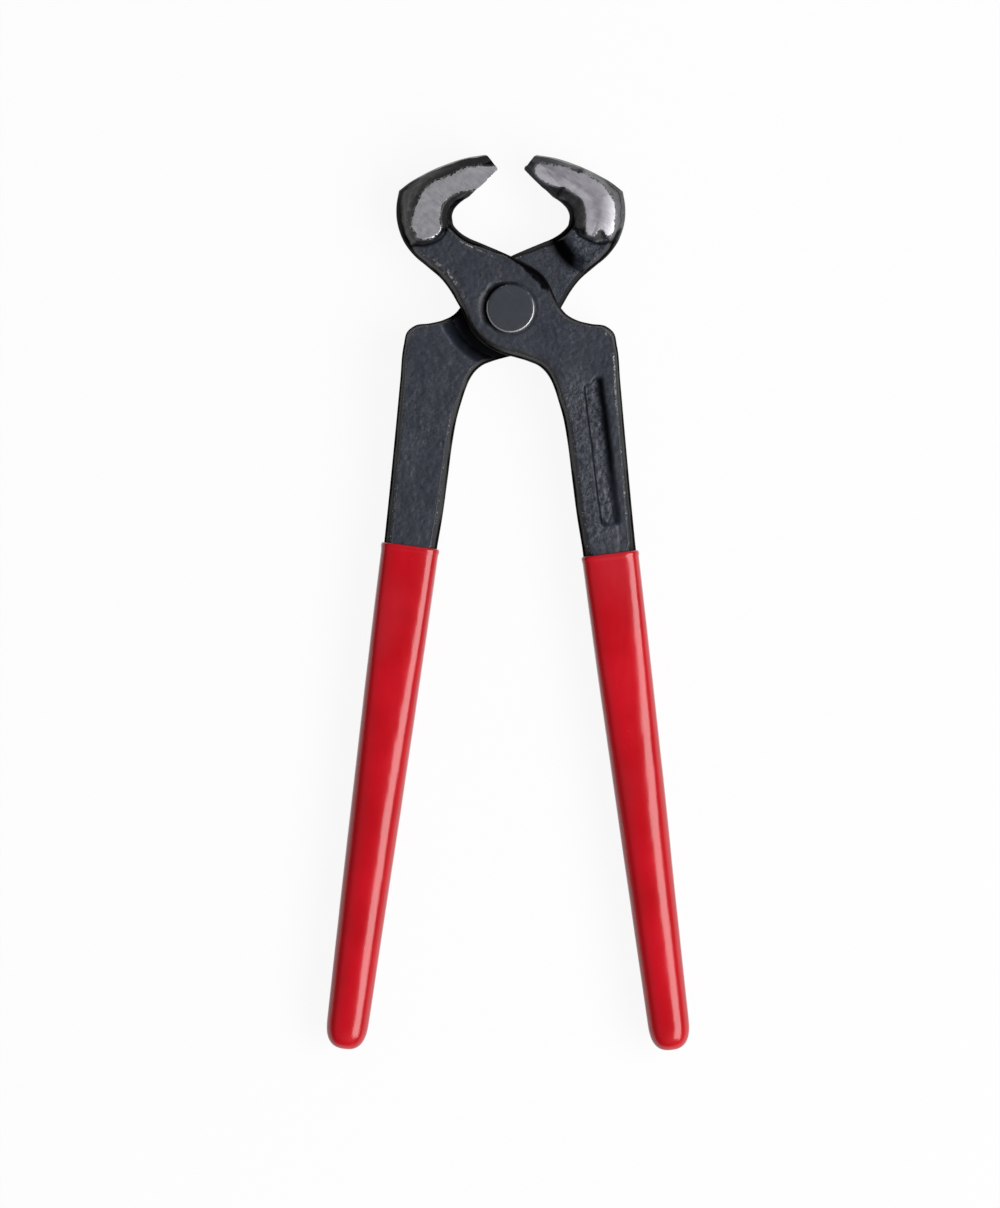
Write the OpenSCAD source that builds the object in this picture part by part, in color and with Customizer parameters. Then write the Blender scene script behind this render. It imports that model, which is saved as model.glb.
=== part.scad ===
// End cutting nippers of the carpenter's pincer pattern: two drop-forged levers
// lapped on one rivet, with hooked jaws that are ground at the cutting edges and
// the sides, and dipped plastic grips. The tool lies flat on its jaws, with its
// pivot axis along Z through the origin and its jaws towards +Y. Both levers come
// from one forging: the back one is the front one turned over about the Y axis.

/* [Head] */
// Reach from the pivot to the crown of the closed jaws
jaw_reach = 39.1; // [33:0.1:47]
// Drop from the crown of the jaws to their cutting edges
edge_drop = 3.6; // [2:0.1:5]
// Half of the head's width with the jaws closed
head_half_w = 26.3; // [22:0.1:31.5]
// Length of the cutting edges, which is the jaws' width across the tool
jaw_w = 19; // [17:0.1:23]
// Widest slope between a jaw's ground side and its forged outline
jaw_slope_w = 4.8; // [3.6:0.1:5.6]
// Steel ground off each side of a jaw
grind_stock = 0.25; // [0.1:0.05:0.4]
// Gap left between the cutting edges when the jaws are closed
edge_gap = 0.1; // [0.05:0.01:0.3]

/* [Joint] */
// Radius of the round boss that each lever has around the rivet
boss_r = 11.3; // [9.4:0.1:13.5]
// Thickness of one lever at the lap
lap_t = 7.75; // [6.5:0.05:8.5]
// Gap between the two lap faces
lap_gap = 0.1; // [0.04:0.01:0.3]
// Radius of the rivet's shank
rivet_r = 4.2; // [3.4:0.1:5]
// Radius of the rivet's heads
rivet_head_r = 6; // [5.6:0.1:7.2]
// Height by which a rivet head stands out of its lever
rivet_head_rise = 0.9; // [0.5:0.05:1.1]
// Depth to which a rivet head is sunk into its lever
rivet_head_sink = 1.6; // [1.2:0.05:2]
// Radial running clearance between the rivet and the front lever
rivet_play = 0.05; // [0.02:0.01:0.1]
// Radial clearance left where the rivet is upset in the back lever
rivet_fit = 0.02; // [0.01:0.005:0.04]
// Room between a boss and the wall of the relief that it turns in
relief_play = 1.4; // [1:0.1:2]
// Shift of the relief's centre towards the jaw, which lets the necks pass
relief_shift = 3.3; // [2.6:0.1:4]
// Run of the sloped wall round the relief
relief_slope_w = 1.8; // [1:0.1:3]
// Distance from the pivot to the foot of a jaw's heel, at the lap face
heel_reach = 18.4; // [17:0.1:21.9]
// Radius of the heel's round front, at the lap face
heel_r = 14; // [11.6:0.1:16.7]
// Run of the heel's sloped front
heel_slope_w = 2.6; // [2:0.1:3.2]
// Angle by which the levers are opened, as drawn
open_angle = 10.7; // [0:0.1:34]

/* [Handles] */
// Half of the width across the shoulders with the jaws closed
shoulder_half_w = 25.8; // [21.5:0.1:31]
// Drop from the pivot to the shoulders' corners
shoulder_drop = 8; // [6.6:0.1:9.6]
// Drop from the pivot to the crotch between the handles
crotch_drop = 12.8; // [11:0.1:15]
// Distance from the pivot to where the handles' faces start to slope inwards
taper_start = 18; // [15:0.5:22]
// Distance from the pivot to where a handle has its plain section
shank_end = 61; // [57:0.1:73]
// Distance from the pivot to the ends of the handles in their grips
tang_end = 186; // [155:1:221]
// Length of the rounded end of a steel handle
tang_tip_l = 5.2; // [4.4:0.1:6.2]
// Width of a steel handle at its plain section
handle_w = 13.3; // [11.1:0.1:15.9]
// Thickness of a steel handle at its plain section
handle_t = 9.4; // [8:0.1:11.2]
// Width of a steel handle near its end
tang_end_w = 9.2; // [7.6:0.1:11]
// Thickness of a steel handle near its end
tang_end_t = 7; // [5.8:0.1:8.4]
// Outward run of a handle's middle line from its plain section to its end
handle_splay = 4.3; // [2:0.1:6]

/* [Marking panel] */
// Length of the sunk panel on a handle
panel_l = 38; // [31:0.5:40]
// Width of the sunk panel
panel_w = 5.5; // [4.5:0.1:6.6]
// Depth of the sunk panel
panel_depth = 0.9; // [0.5:0.05:1.3]
// Distance from the pivot to the middle of the panel
panel_middle = 37.4; // [36:0.1:39]
// Steel left between the panel and the handle's outer edge, at the panel's middle
panel_margin = 3.5; // [2.8:0.1:4.2]
// Radius of the panel's corners
panel_corner_r = 1.3; // [0.8:0.1:1.7]

/* [Grips] */
// Distance from the plain section to the rim of the front lever's grip
front_rim_drop = 2; // [0:0.1:6]
// Distance from the plain section to the rim of the back lever's grip
back_rim_drop = 0.2; // [0:0.1:6]
// Thickness of the plastic along a grip
grip_wall = 0.6; // [0.5:0.05:1.2]
// Thickness of the plastic below the end of a handle
grip_end_wall = 2; // [1.2:0.1:3]
// Clearance between the steel and the plastic
grip_fit = 0.02; // [0.01:0.01:0.05]

/* [Hidden] */
$fn = 96;
steel_colour = "#3a3e47";
rivet_colour = "#454954";
grip_colour = "#c4121f";
// Overrun of every cut past the surface that it opens
cut_over = 1;

// Outline of a lever with the jaws closed, as paired points on its two edges. Edge a
// runs from the crown over the jaw's back and the boss to the handle's inner side.
// Edge b runs from the cutting edge through the hollow to the handle's outer side.
// Shares of head_half_w and jaw_reach
jaw_a_shares = [
    [-0.106, 1.000], [-0.281, 0.992], [-0.475, 0.964], [-0.669, 0.921], [-0.825, 0.872],
    [-0.954, 0.818], [-0.989, 0.731], [-1.000, 0.639], [-0.981, 0.552], [-0.947, 0.486],
    [-0.916, 0.448], [-0.871, 0.404], [-0.753, 0.322], [-0.624, 0.230], [-0.551, 0.151]
];
// Shares of head_half_w and edge_reach
jaw_b_shares = [
    [0, 1.000], [-0.087, 0.944], [-0.186, 0.883], [-0.293, 0.818], [-0.388, 0.780],
    [-0.445, 0.740], [-0.471, 0.695], [-0.470, 0.655], [-0.466, 0.630], [-0.447, 0.605],
    [-0.418, 0.579], [-0.395, 0.562], [-0.327, 0.525], [-0.236, 0.489], [-0.114, 0.441]
];
// Shares of boss_r
boss_a_shares = [
    [-1.159, 0.257], [-1.062, 0.035], [-0.991, -0.177], [-0.903, -0.407], [-0.743, -0.628],
    [-0.531, -0.814], [-0.265, -0.965]
];
boss_b_shares = [
    [-0.018, 1.248], [0.195, 1.124], [0.389, 1.009], [0.584, 0.876], [0.752, 0.726],
    [0.903, 0.478], [0.991, 0.230]
];
// Shares of crotch_half_w and crotch_drop
crotch_a_shares = [
    [0.032, -0.945], [0.336, -1.039], [0.582, -1.141], [0.745, -1.273], [0.857, -1.430],
    [0.938, -1.625], [1.010, -1.875]
];
// Shares of the way from boss_r out to shoulder_half_w, and of shoulder_drop
shoulder_b_shares = [
    [0.062, 0.000], [0.171, -0.300], [0.349, -0.525], [0.582, -0.675], [0.829, -0.788],
    [0.952, -1.000], [0.993, -1.438]
];
// Shares of handle_w inwards from the handle's outer side, and of shank_end
shank_a_shares = [[1.139, -0.456], [1.098, -0.554], [1.072, -0.711], [1.045, -0.864]];
// Shares of shoulder_half_w and shank_end
shank_b_shares = [[0.997, -0.330], [0.996, -0.490], [0.996, -0.670], [0.997, -0.840]];
// Width of the slope beside each pair of the jaw's points, as shares of jaw_slope_w
jaw_a_slope_shares = [
    0.47, 0.50, 0.55, 0.65, 0.75, 0.90, 1.00, 1.00, 0.92, 0.82, 0.46, 0.42, 0.40, 0.40, 0.40
];
jaw_b_slope_shares = [
    0.06, 0.10, 0.20, 0.50, 0.66, 0.74, 0.76, 0.74, 0.70, 0.66, 0.34, 0.26, 0.25, 0.25, 0.25
];
// Slopes of the boss and the shank, as shares of lap_t
web_a_slope_share = 0.25;
web_b_slope_share = 0.16;
shank_slope_share = 0.26;
// The forged side between the parting line and the face: shares of the slope's width
// inwards, and of the half thickness upwards
forged_side_shares = [[0, 0], [0.12, 0.42], [0.32, 0.74], [0.62, 0.94], [1, 1]];
// A rounder side, for the grips
round_side_shares = [[0, 0], [0.10, 0.42], [0.30, 0.72], [0.60, 0.92], [1, 1]];
// Width of a handle at the crotch, as a share of handle_w
crotch_w_share = 1.2;
// Points that keep a corner: the crown's outer end on edge a, and the inner end of
// the bevel under the cutting edge on edge b
corner_a = [5];
corner_b = [3];
// Last pair of jaw points before the ground side steps down to the web
step_pair = 9;
// Direction of the heel's foot, turned from +Y
heel_turn = 42;
// Outer limit of the relief on the jaw's side, as a share of heel_reach
relief_limit_share = 1.33;
// How a handle narrows: an even taper is 1
taper_power = 1.3;
// Depth of a grip's rounded sides at its rim and its end, as shares of its half width
grip_side_shares = [0.45, 0.9];
// Turn of the last ring of a rounded end
tip_turn = 84;
// How full a grip's rounded end is: 1 is an ellipse and less is blunter
grip_tip_power = 0.74;
// Steps between two pairs of points
lever_steps = 3;
grip_stations = 12;
tang_stations = 10;
tip_stations = 8;
heel_steps = 6;

edge_reach = jaw_reach - edge_drop;
crotch_half_w = shoulder_half_w - handle_w * crotch_w_share;
half_lap_gap = lap_gap / 2;
half_edge_gap = edge_gap / 2;
jaw_half_w = jaw_w / 2;
handle_half_t = handle_t / 2;
tang_w_run = handle_w - tang_end_w;
tang_t_run = handle_t - tang_end_t;
rivet_face_z = lap_t + rivet_head_rise;
relief_r = boss_r + relief_play + relief_shift;
relief_limit_r = heel_reach * relief_limit_share;
shank_mid_x = shoulder_half_w - handle_w / 2;
tang_l = tang_end - shank_end;
axis_turn = atan2(handle_splay, tang_l);
tip_start = tang_end - tang_tip_l;
face_tilt = atan2(lap_t - handle_half_t, shank_end - taper_start);
tip_turns = [for (i = [1 : tip_stations]) tip_turn * i / tip_stations];
shank_slope_w = shank_slope_share * lap_t;

// Points along a curve through given points. A corner keeps its edge: there the curve
// leaves along the chords and not along their mean.
function dist(p, q) = norm(q - p);
function chord_way(p, q) = (q - p) / dist(p, q);
function mean_way(p, q, r) =
    (dist(q, r) * chord_way(p, q) + dist(p, q) * chord_way(q, r)) / (dist(p, q) + dist(q, r));
function is_corner(i, corners) = len(search(i, corners)) > 0;
function way_out(pts, i, corners) =
    i == 0 || is_corner(i, corners)
    ? chord_way(pts[i], pts[i + 1])
    : mean_way(pts[i - 1], pts[i], pts[i + 1]);
function way_in(pts, i, corners) =
    i == len(pts) - 1 || is_corner(i, corners)
    ? chord_way(pts[i - 1], pts[i])
    : mean_way(pts[i - 1], pts[i], pts[i + 1]);
function curve_point(pts, i, u, corners) =
    let (p = pts[i], q = pts[i + 1], d = dist(p, q),
         m = d * way_out(pts, i, corners), n = d * way_in(pts, i + 1, corners),
         u2 = u * u, u3 = u2 * u)
    (2 * u3 - 3 * u2 + 1) * p + (u3 - 2 * u2 + u) * m + (3 * u2 - 2 * u3) * q + (u3 - u2) * n;
function curve(pts, steps, corners) = concat(
    [for (i = [0 : len(pts) - 2], k = [0 : steps - 1]) curve_point(pts, i, k / steps, corners)],
    [pts[len(pts) - 1]]
);
function scaled(shares, size) = [for (s = shares) [s[0] * size[0], s[1] * size[1]]];
function mix(p, q, u) = p + (q - p) * u;
function spread(values, steps) = concat(
    [for (i = [0 : len(values) - 2], k = [0 : steps - 1]) mix(values[i], values[i + 1], k / steps)],
    [values[len(values) - 1]]
);

// One closed ring of a forging: it starts on edge a at the parting line, climbs the
// forged side, crosses the face to edge b, and comes back underneath.
function quarter(p, way, slope, half_t, side) =
    [for (s = side) [p[0] + way[0] * slope * s[0], p[1] + way[1] * slope * s[0], half_t * s[1]]];
function reversed(list) = [for (i = [len(list) - 1 : -1 : 0]) list[i]];
function turned_under(list) = [for (i = [1 : len(list) - 2]) [list[i][0], list[i][1], -list[i][2]]];
function ring(a, b, slope_a, slope_b, half_t, side) =
    let (way = chord_way(a, b),
         top = concat(quarter(a, way, slope_a, half_t, side),
                      reversed(quarter(b, -way, slope_b, half_t, side))))
    concat(top, reversed(turned_under(top)));

// Closed skin over rings that all have the same number of points
module skin(rings) {
    n = len(rings[0]);
    last = len(rings) - 1;
    points = [for (r = rings, p = r) p];
    sides = [for (i = [0 : last - 1], k = [0 : n - 1], half = [0, 1])
        let (p = i * n + k, q = i * n + (k + 1) % n)
        half == 0 ? [p, q, q + n] : [p, q + n, p + n]];
    near = [[for (k = [n - 1 : -1 : 0]) k]];
    far = [[for (k = [0 : n - 1]) last * n + k]];
    polyhedron(points = points, faces = concat(sides, near, far), convexity = 6);
}

// A handle below the plain section: its middle line, and how its section shrinks from
// y, a distance from the pivot, with plastic of the given thickness on it
function taper(y) = pow(max(0, (y - shank_end) / tang_l), taper_power);
function axis_point(y) = [shank_mid_x + (y - shank_end) * tan(axis_turn), -y];
function handle_ring(y, wall, shrink, slope, side) =
    let (half_w = (handle_w - tang_w_run * taper(y)) / 2 + wall,
         half_t = (handle_t - tang_t_run * taper(y)) / 2 + wall,
         m = axis_point(y), d = half_w * shrink * [cos(axis_turn), sin(axis_turn)])
    ring(m - d, m + d, slope * shrink, slope * shrink, half_t * shrink, side);
function steel_rings(start, wall) = concat(
    [for (i = [0 : tang_stations])
        handle_ring(mix(start, tip_start, i / tang_stations), wall, 1,
                    shank_slope_w, forged_side_shares)],
    [for (turn = tip_turns)
        handle_ring(tip_start + (tang_tip_l + wall) * sin(turn) / sin(tip_turn), wall,
                    cos(turn), shank_slope_w, forged_side_shares)]
);
function shank_x(share) = shoulder_half_w - share * handle_w;
function shoulder_x(share) = mix(boss_r, shoulder_half_w, share);
// Height of a handle's face over the parting line
function face_z(y) =
    mix(lap_t, handle_half_t, max(0, (y - taper_start) / (shank_end - taper_start)));

edge_a = concat(
    scaled(jaw_a_shares, [head_half_w, jaw_reach]),
    scaled(boss_a_shares, [boss_r, boss_r]),
    scaled(crotch_a_shares, [crotch_half_w, crotch_drop]),
    [for (s = shank_a_shares) [shank_x(s[0]), s[1] * shank_end]],
    [[shank_x(1), -shank_end]]
);
edge_b = concat(
    [for (p = scaled(jaw_b_shares, [head_half_w, edge_reach])) p - [half_edge_gap, 0]],
    scaled(boss_b_shares, [boss_r, boss_r]),
    [for (s = shoulder_b_shares) [shoulder_x(s[0]), s[1] * shoulder_drop]],
    scaled(shank_b_shares, [shoulder_half_w, shank_end]),
    [[shoulder_half_w, -shank_end]]
);
jaw_pairs = len(jaw_a_shares);
web_pairs = len(boss_a_shares) + len(crotch_a_shares);
shank_pairs = len(shank_a_shares) + 1;
slopes_a = concat(
    jaw_slope_w * jaw_a_slope_shares,
    [for (i = [1 : web_pairs]) lap_t * web_a_slope_share],
    [for (i = [1 : shank_pairs]) shank_slope_w]
);
slopes_b = concat(
    jaw_slope_w * jaw_b_slope_shares,
    [for (i = [1 : web_pairs]) lap_t * web_b_slope_share],
    [for (i = [1 : shank_pairs]) shank_slope_w]
);
half_ts = [for (i = [0 : len(edge_a) - 1])
    i <= step_pair ? jaw_half_w + grind_stock : face_z(-(edge_a[i][1] + edge_b[i][1]) / 2)];

// The forging before any machining: jaw, web, shank and the steel inside the grip
module forging() {
    a = curve(edge_a, lever_steps, corner_a);
    b = curve(edge_b, lever_steps, corner_b);
    sa = spread(slopes_a, lever_steps);
    sb = spread(slopes_b, lever_steps);
    t = spread(half_ts, lever_steps);
    head = [for (i = [0 : len(a) - 1]) ring(a[i], b[i], sa[i], sb[i], t[i], forged_side_shares)];
    tang = steel_rings(shank_end, 0);
    skin(concat(head, [for (i = [1 : len(tang) - 1]) tang[i]]));
}

// The stone's two passes along the sides of a jaw
module side_grinding() {
    size = 3 * jaw_reach;
    for (side = [0, 1]) mirror([0, 0, side])
        translate([-size / 2, -size / 2, jaw_half_w]) cube([size, size, jaw_half_w]);
}

// Space behind a lever's web, in which the other lever's web turns. Its wall slopes
// on the handle's side, and the jaw's heel bounds it on the other.
module lap_relief() {
    depth = jaw_half_w + cut_over;
    slope = relief_slope_w / lap_t * depth;
    difference() {
        translate([0, 0, half_lap_gap - depth]) {
            translate([0, relief_shift, 0]) cylinder(h = depth, r1 = relief_r + slope, r2 = relief_r);
            intersection() {
                cylinder(h = depth, r = relief_limit_r);
                translate([-relief_limit_r, 0, 0]) cube([2 * relief_limit_r, relief_limit_r, depth]);
            }
        }
        heel();
    }
}

// The jaw's heel: a round block with a sloped front, whose upper edge is rounded off
module heel() {
    round_h = lap_t / 3;
    round_r = heel_r - heel_slope_w * (lap_t - round_h) / lap_t;
    side = [for (k = [0 : heel_steps])
        let (turn = 90 * k / heel_steps)
        [round_r - round_h * (1 - cos(turn)), round_h - lap_t - round_h * sin(turn)]];
    top_r = side[heel_steps][0];
    rotate([0, 0, heel_turn]) translate([0, heel_reach + heel_r, 0]) rotate_extrude()
        polygon(concat([[0, cut_over], [heel_r, cut_over], [heel_r, 0]], side,
                       [[top_r, -jaw_w], [0, -jaw_w]]));
}

// Sunk panel with round corners on the outside of a handle, beside its outer edge
module marking_panel() {
    x = shoulder_half_w - panel_margin - panel_w / 2;
    inset = [panel_w / 2 - panel_corner_r, panel_l / 2 - panel_corner_r];
    translate([x, -panel_middle, face_z(panel_middle)]) rotate([face_tilt, 0, axis_turn])
        translate([0, 0, -panel_depth]) {
            translate([-inset[0], -panel_l / 2, 0]) cube([2 * inset[0], panel_l, lap_t]);
            translate([-panel_w / 2, -inset[1], 0]) cube([panel_w, 2 * inset[1], lap_t]);
            for (x_way = [-1, 1], y_way = [-1, 1])
                translate([x_way * inset[0], y_way * inset[1], 0])
                    cylinder(h = lap_t, r = panel_corner_r);
        }
}

// One lever with its jaw on the left and its web above the lap plane, jaws closed
module lever(fit) {
    difference() {
        forging();
        side_grinding();
        lap_relief();
        marking_panel();
        translate([0, 0, -cut_over]) cylinder(h = lap_t + 2 * cut_over, r = rivet_r + fit);
        translate([0, 0, lap_t - rivet_head_sink])
            cylinder(h = rivet_head_sink + cut_over, r = rivet_head_r + fit);
    }
}

// Dipped plastic grip: a rounded box at its rim, nearly oval lower down, with a
// rounded end, over the steel that it was dipped on
module grip(rim_drop) {
    start = shank_end + rim_drop;
    wall = grip_wall + grip_fit;
    body = [for (i = [0 : grip_stations])
        let (y = mix(start, tip_start, i / grip_stations))
        handle_ring(y, wall, 1, grip_slope(y), round_side_shares)];
    tip = [for (turn = tip_turns)
        let (y = tip_start
                 + (tang_tip_l + grip_end_wall) * pow(sin(turn) / sin(tip_turn), grip_tip_power))
        handle_ring(y, wall, pow(cos(turn), grip_tip_power), grip_slope(y), round_side_shares)];
    difference() {
        skin(concat(body, tip));
        skin(steel_rings(start - cut_over, grip_fit));
    }
}
function grip_slope(y) =
    let (u = (y - shank_end) / tang_l)
    handle_w / 2 * mix(grip_side_shares[0], grip_side_shares[1] * tang_end_w / handle_w, u);

// Rivet with a flat round head at each end
module rivet() {
    edge = rivet_head_rise / 3;
    seat_z = lap_t - rivet_head_sink + rivet_fit;
    rotate_extrude() polygon([
        [0, -rivet_face_z], [rivet_head_r - edge, -rivet_face_z], [rivet_head_r, edge - rivet_face_z],
        [rivet_head_r, -seat_z], [rivet_r, -seat_z], [rivet_r, seat_z], [rivet_head_r, seat_z],
        [rivet_head_r, rivet_face_z - edge], [rivet_head_r - edge, rivet_face_z], [0, rivet_face_z]
    ]);
}

// Places a piece of the front or the back lever on the bench, at the drawn opening
module on_front() {
    translate([0, 0, jaw_half_w]) rotate([0, 0, open_angle / 2]) children();
}
module on_back() {
    translate([0, 0, jaw_half_w]) rotate([0, 180, 0]) rotate([0, 0, open_angle / 2]) children();
}

module front_lever() { color(steel_colour) on_front() lever(rivet_play); }
module back_lever() { color(steel_colour) on_back() lever(rivet_fit); }
module pivot_rivet() { color(rivet_colour) translate([0, 0, jaw_half_w]) rivet(); }
module front_grip() { color(grip_colour) on_front() grip(front_rim_drop); }
module back_grip() { color(grip_colour) on_back() grip(back_rim_drop); }

back_lever();
front_lever();
pivot_rivet();
back_grip();
front_grip();
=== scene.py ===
import bpy
import numpy as np
from mathutils import Euler, Matrix


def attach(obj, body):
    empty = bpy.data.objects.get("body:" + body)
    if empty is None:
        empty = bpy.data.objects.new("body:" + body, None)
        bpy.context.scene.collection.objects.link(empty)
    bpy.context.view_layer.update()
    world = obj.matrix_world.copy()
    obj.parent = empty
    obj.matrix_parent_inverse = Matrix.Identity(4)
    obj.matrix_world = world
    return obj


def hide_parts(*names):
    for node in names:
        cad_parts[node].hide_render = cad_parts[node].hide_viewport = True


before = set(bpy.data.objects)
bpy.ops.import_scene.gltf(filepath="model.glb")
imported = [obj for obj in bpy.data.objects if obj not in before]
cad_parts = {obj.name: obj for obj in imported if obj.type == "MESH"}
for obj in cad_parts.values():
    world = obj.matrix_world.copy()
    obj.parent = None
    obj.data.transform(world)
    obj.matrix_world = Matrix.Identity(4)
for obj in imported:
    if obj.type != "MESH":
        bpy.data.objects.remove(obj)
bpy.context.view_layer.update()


# The two levers are one drop forging in medium-carbon steel, used twice: the back lever
# is the front one turned over. Each is trimmed of its flash, blackened, and lapped on the
# other at half its thickness. The jaws' sides are then ground bright on a stone.
mm = 0.001
lap_z = 9.5
open_angle = 10.7
half_open = np.radians(open_angle / 2)
jaw_half_w = 9.5
web_t = 7.75
handle_half_t = 4.7
jaw_reach = 39.1
edge_reach = 35.5
head_half_w = 26.3
half_edge_gap = 0.05
boss_r = 11.3
shoulder_half_w = 25.8
shoulder_drop = 8.0
crotch_drop = 12.8
handle_w = 13.3
crotch_half_w = shoulder_half_w - 1.2 * handle_w
taper_start = 18.0
shank_end = 61.0
tang_end = 186.0
tang_tip_l = 5.2
tang_end_w = 9.2
tang_end_t = 7.0
handle_splay = 4.3
handle_turn = np.arctan2(handle_splay, tang_end - shank_end)

# The outline with the jaws closed, as paired points on the lever's two edges: edge a from
# the crown over the jaw's back to the handle's inner side, edge b from the cutting edge
# through the hollow to the handle's outer side
jaw_a_shares = [
    (-0.106, 1.000), (-0.281, 0.992), (-0.475, 0.964), (-0.669, 0.921), (-0.825, 0.872),
    (-0.954, 0.818), (-0.989, 0.731), (-1.000, 0.639), (-0.981, 0.552), (-0.947, 0.486),
    (-0.916, 0.448), (-0.871, 0.404), (-0.753, 0.322), (-0.624, 0.230), (-0.551, 0.151)]
jaw_b_shares = [
    (0, 1.000), (-0.087, 0.944), (-0.186, 0.883), (-0.293, 0.818), (-0.388, 0.780),
    (-0.445, 0.740), (-0.471, 0.695), (-0.470, 0.655), (-0.466, 0.630), (-0.447, 0.605),
    (-0.418, 0.579), (-0.395, 0.562), (-0.327, 0.525), (-0.236, 0.489), (-0.114, 0.441)]
boss_a_shares = [
    (-1.159, 0.257), (-1.062, 0.035), (-0.991, -0.177), (-0.903, -0.407), (-0.743, -0.628),
    (-0.531, -0.814), (-0.265, -0.965)]
boss_b_shares = [
    (-0.018, 1.248), (0.195, 1.124), (0.389, 1.009), (0.584, 0.876), (0.752, 0.726),
    (0.903, 0.478), (0.991, 0.230)]
crotch_a_shares = [
    (0.032, -0.945), (0.336, -1.039), (0.582, -1.141), (0.745, -1.273), (0.857, -1.430),
    (0.938, -1.625), (1.010, -1.875)]
shoulder_b_shares = [
    (0.062, 0.000), (0.171, -0.300), (0.349, -0.525), (0.582, -0.675), (0.829, -0.788),
    (0.952, -1.000), (0.993, -1.438)]
shank_a_shares = [(1.139, -0.456), (1.098, -0.554), (1.072, -0.711), (1.045, -0.864), (1, -1)]
shank_b_shares = [(0.997, -0.330), (0.996, -0.490), (0.996, -0.670), (0.997, -0.840), (1, -1)]


def scaled(shares, width, height):
    """Each pair of shares times a width and a height."""
    return np.array(shares, float) * (width, height)


edge_a = np.vstack([
    scaled(jaw_a_shares, head_half_w, jaw_reach),
    scaled(boss_a_shares, boss_r, boss_r),
    scaled(crotch_a_shares, crotch_half_w, crotch_drop),
    (shoulder_half_w, 0) + scaled(shank_a_shares, -handle_w, shank_end)])
edge_b = np.vstack([
    scaled(jaw_b_shares, head_half_w, edge_reach) - (half_edge_gap, 0),
    scaled(boss_b_shares, boss_r, boss_r),
    (boss_r, 0) + scaled(shoulder_b_shares, shoulder_half_w - boss_r, shoulder_drop),
    scaled(shank_b_shares, shoulder_half_w, shank_end)])
# Which of their points are corners
corner_a = [5]
corner_b = [3]
web_pairs = len(boss_a_shares) + len(crotch_a_shares)
shank_pairs = len(shank_a_shares)


def smooth_curve(points, corners, s):
    """Hermite curve through points at the parameters s: a point's direction is the mean of
    its two chords, each weighted with the other's length, and a corner keeps its chords."""
    chord = np.diff(points, axis=0)
    length = np.linalg.norm(chord, axis=1, keepdims=True)
    way = chord / length
    mean = (length[1:] * way[:-1] + length[:-1] * way[1:]) / (length[1:] + length[:-1])
    leave = np.vstack([way[:1], mean, way[-1:]])
    arrive = leave.copy()
    for i in corners:
        leave[i], arrive[i] = way[i], way[i - 1]
    i = np.clip(s.astype(int), 0, len(points) - 2)
    u = (s - i)[:, None]
    m, n = length[i] * leave[i], length[i] * arrive[i + 1]
    return ((2 * u**3 - 3 * u**2 + 1) * points[i] + (u**3 - 2 * u**2 + u) * m
            + (3 * u**2 - 2 * u**3) * points[i + 1] + (u**3 - u**2) * n)


def smooth_min(p, q, r):
    """The lower of p and q, with the corner between them rounded over a difference of r."""
    return np.minimum(p, q) - np.maximum(r - np.abs(p - q), 0) ** 2 / (4 * r)


def smooth_step(x, low, high):
    """Zero below low, one above high, and an even S curve between."""
    u = np.clip((x - low) / (high - low), 0, 1)
    return u * u * (3 - 2 * u)


def lumps(p, size, seed):
    """Smooth lattice noise from -1 to 1 at the points p: random values at the corners of
    cubes of the given size, blended with an S curve along each axis."""
    table = np.random.default_rng(seed).uniform(-1, 1, (32, 32, 32))
    q = p / size + 100
    i = np.floor(q).astype(int)
    u = q - i
    u = u * u * (3 - 2 * u)
    total = 0
    for k in range(8):
        corner = np.array([k & 1, k >> 1 & 1, k >> 2 & 1])
        weight = np.prod(np.where(corner == 1, u, 1 - u), axis=-1)
        j = (i + corner) % 32
        total = total + weight * table[j[..., 0], j[..., 1], j[..., 2]]
    return total


def bell(d, w):
    """One where d is zero, fading on both sides as a bell curve of the width w."""
    return np.exp(-(d / w) ** 2)


def xyz(x, y, z=0):
    """Points from their x, their y and their z, which may be one height for all."""
    return np.stack([x, y, z + 0 * x], -1)


def face_height(y):
    """Half thickness of a handle at a distance y below the pivot: an even slope down."""
    slope = np.clip((y - taper_start) / (shank_end - taper_start), 0, 1)
    return web_t + (handle_half_t - web_t) * slope


def new_piece(name, corners, faces, material, body, node, sharp):
    """Makes a mesh that is smooth except at edges above the angle sharp, in degrees, and
    says which node it replaces, which body it rides on and which slot it belongs to."""
    mesh = bpy.data.meshes.new(name)
    mesh.from_pydata(corners.tolist(), [], faces)
    mesh.polygons.foreach_set("use_smooth", np.ones(len(mesh.polygons), bool))
    mesh.set_sharp_from_angle(angle=np.radians(sharp))
    mesh.materials.append(material)
    piece = bpy.data.objects.new(name, mesh)
    bpy.context.scene.collection.objects.link(piece)
    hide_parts(node)
    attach(piece, body)
    return mesh


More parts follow.
